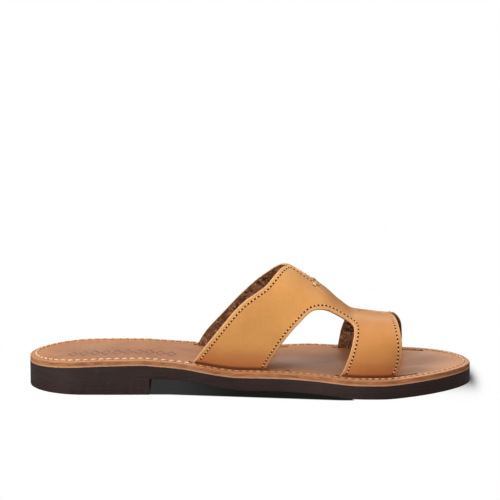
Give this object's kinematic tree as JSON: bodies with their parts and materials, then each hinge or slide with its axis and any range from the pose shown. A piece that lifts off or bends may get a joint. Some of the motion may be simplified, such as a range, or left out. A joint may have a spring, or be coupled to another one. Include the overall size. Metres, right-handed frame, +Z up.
{
  "type": "slide sandal",
  "caption": "Flat leather slide sandal for the left foot: one-piece strap with two bands and a window on each side, leather insole, rubber outsole and low heel lift.",
  "frame": {"origin": "on the floor, under the middle of the sandal's box", "axes": "+X from heel to toe, +Y to the lateral side, +Z up"},
  "size_m": [0.25, 0.0922, 0.071],
  "materials": {
    "rubber": "dark brown rubber, matt, with fine lengthwise striations",
    "insole_leather": "tan leather with a satin gloss and a raw cut edge",
    "strap_leather": "smooth golden tan leather with raw cut edges and a dark, rough flesh side"
  },
  "bodies": {
    "root": {"heel_lift": "rubber", "outsole": "rubber", "insole": "insole_leather", "upper": "strap_leather"}
  },
  "joints": []
}
